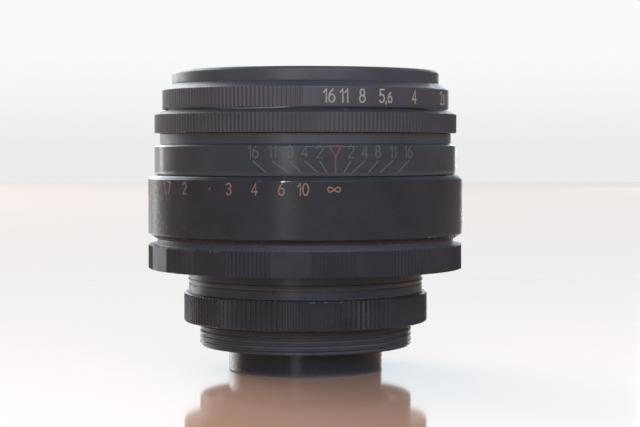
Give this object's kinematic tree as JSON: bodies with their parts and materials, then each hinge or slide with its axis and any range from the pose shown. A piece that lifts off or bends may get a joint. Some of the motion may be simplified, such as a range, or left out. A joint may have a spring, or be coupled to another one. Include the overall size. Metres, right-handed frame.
{
  "type": "preset prime camera lens",
  "caption": "Manual prime lens with a 42 mm screw mount, a lobed focusing ring, an aperture ring, a preset ring and an iris of swinging blades.",
  "frame": {"origin": "centre of the mounting flange's seat, on the optical axis, with the lens focused at infinity", "axes": "+Z along the optical axis towards the subject; -Y is the side where the index and the scales are read"},
  "size_m": [0.0622, 0.0622, 0.0588],
  "materials": {
    "black_paint": "semi-gloss black enamel on aluminium, worn bright on the edges",
    "grey_black_anodised": "satin black anodising, slightly grey with age",
    "matt_black_interior": "matt anti-reflection black",
    "brass": "turned and greased",
    "bare_aluminium": "turned, bare, lightly greased",
    "screw_steel": "blackened, worn in the slots",
    "spring_steel": "spring steel, plain",
    "blued_steel": "thin blued steel, slightly oily",
    "coated_glass": "polished, with a blue and amber coating"
  },
  "bodies": {
    "mount": {"mount_ring": "black_paint", "mount_barrel": "black_paint", "guide_key": "brass", "guide_key_screws": "screw_steel"},
    "lens_block": {"inner_barrel": "bare_aluminium", "block_head": "grey_black_anodised", "dof_scale_ring": "black_paint", "dof_ring_screws": "screw_steel", "thrust_retaining_ring": "bare_aluminium", "focus_stop_screw": "screw_steel", "front_rim": "grey_black_anodised", "front_cell": "matt_black_interior", "front_element": "coated_glass", "front_retaining_ring": "matt_black_interior", "name_ring": "grey_black_anodised", "front_doublet_crown": "coated_glass", "front_doublet_flint": "coated_glass", "doublet_retaining_ring": "matt_black_interior", "iris_base_plate": "matt_black_interior", "rear_cell": "black_paint", "rear_cell_lock_ring": "matt_black_interior", "rear_doublet_flint": "coated_glass", "rear_doublet_crown": "coated_glass", "rear_spacer_ring": "matt_black_interior", "rear_element": "coated_glass", "rear_retaining_ring": "matt_black_interior"},
    "focus_ring": {"focus_nut": "brass", "focus_grip_ring": "black_paint", "distance_ring": "black_paint", "focus_set_screws": "screw_steel"},
    "aperture_ring": {"aperture_ring": "grey_black_anodised", "aperture_drive_screw": "screw_steel", "iris_drive_ring": "matt_black_interior", "preset_snap_ring": "spring_steel", "preset_wave_spring": "spring_steel"},
    "preset_thrust": {"preset_thrust_washer": "spring_steel"},
    "preset_ring": {"preset_ring": "grey_black_anodised"},
    "iris_blade_1": {"iris_blade_1": "blued_steel"},
    "iris_blade_2": {"iris_blade_2": "blued_steel"},
    "iris_blade_3": {"iris_blade_3": "blued_steel"},
    "iris_blade_4": {"iris_blade_4": "blued_steel"},
    "iris_blade_5": {"iris_blade_5": "blued_steel"},
    "iris_blade_6": {"iris_blade_6": "blued_steel"},
    "iris_blade_7": {"iris_blade_7": "blued_steel"},
    "iris_blade_8": {"iris_blade_8": "blued_steel"}
  },
  "joints": [
    {"name": "focus_travel", "type": "slide", "parent": "mount", "child": "lens_block", "axis": [0, 0, 1], "range_m": [0, 0.00897]},
    {"name": "focus_turn", "type": "hinge", "parent": "lens_block", "child": "focus_ring", "pos_m": [0, 0, 0.0206], "axis": [0, 0, 1], "range_deg": [0, 281.6]},
    {"name": "aperture_turn", "type": "hinge", "parent": "lens_block", "child": "aperture_ring", "pos_m": [0, 0, 0.0386], "axis": [0, 0, 1], "range_deg": [-90, 6]},
    {"name": "preset_press", "type": "slide", "parent": "aperture_ring", "child": "preset_thrust", "axis": [0, 0, 1], "range_m": [-0.0003, 0], "stiffness_N_per_m": 800, "springref_m": 0.002, "deforming": ["preset_wave_spring"]},
    {"name": "preset_turn", "type": "hinge", "parent": "preset_thrust", "child": "preset_ring", "pos_m": [0, 0, 0.0442], "axis": [0, 0, 1], "range_deg": [-90.8, 5.7]},
    {"name": "iris_blade_1_swing", "type": "hinge", "parent": "lens_block", "child": "iris_blade_1", "pos_m": [0.0176, 0, 0.0137], "axis": [0, 0, 1], "range_deg": [-30, 2.2]},
    {"name": "iris_blade_2_swing", "type": "hinge", "parent": "lens_block", "child": "iris_blade_2", "pos_m": [0.01245, 0.01245, 0.0137], "axis": [0, 0, 1], "range_deg": [-30, 2.2]},
    {"name": "iris_blade_3_swing", "type": "hinge", "parent": "lens_block", "child": "iris_blade_3", "pos_m": [0, 0.0176, 0.0137], "axis": [0, 0, 1], "range_deg": [-30, 2.2]},
    {"name": "iris_blade_4_swing", "type": "hinge", "parent": "lens_block", "child": "iris_blade_4", "pos_m": [-0.01245, 0.01245, 0.0137], "axis": [0, 0, 1], "range_deg": [-30, 2.2]},
    {"name": "iris_blade_5_swing", "type": "hinge", "parent": "lens_block", "child": "iris_blade_5", "pos_m": [-0.0176, 0, 0.0137], "axis": [0, 0, 1], "range_deg": [-30, 2.2]},
    {"name": "iris_blade_6_swing", "type": "hinge", "parent": "lens_block", "child": "iris_blade_6", "pos_m": [-0.01245, -0.01245, 0.0137], "axis": [0, 0, 1], "range_deg": [-30, 2.2]},
    {"name": "iris_blade_7_swing", "type": "hinge", "parent": "lens_block", "child": "iris_blade_7", "pos_m": [0, -0.0176, 0.0137], "axis": [0, 0, 1], "range_deg": [-30, 2.2]},
    {"name": "iris_blade_8_swing", "type": "hinge", "parent": "lens_block", "child": "iris_blade_8", "pos_m": [0.01245, -0.01245, 0.0137], "axis": [0, 0, 1], "range_deg": [-30, 2.2]}
  ],
  "couplings": [
    {"joint": "focus_turn", "follows": "focus_travel", "rad_per_m": 547.92},
    {"joint": "iris_blade_1_swing", "follows": "aperture_turn", "ratio": 0.33},
    {"joint": "iris_blade_2_swing", "follows": "aperture_turn", "ratio": 0.33},
    {"joint": "iris_blade_3_swing", "follows": "aperture_turn", "ratio": 0.33},
    {"joint": "iris_blade_4_swing", "follows": "aperture_turn", "ratio": 0.33},
    {"joint": "iris_blade_5_swing", "follows": "aperture_turn", "ratio": 0.33},
    {"joint": "iris_blade_6_swing", "follows": "aperture_turn", "ratio": 0.33},
    {"joint": "iris_blade_7_swing", "follows": "aperture_turn", "ratio": 0.33},
    {"joint": "iris_blade_8_swing", "follows": "aperture_turn", "ratio": 0.33}
  ]
}
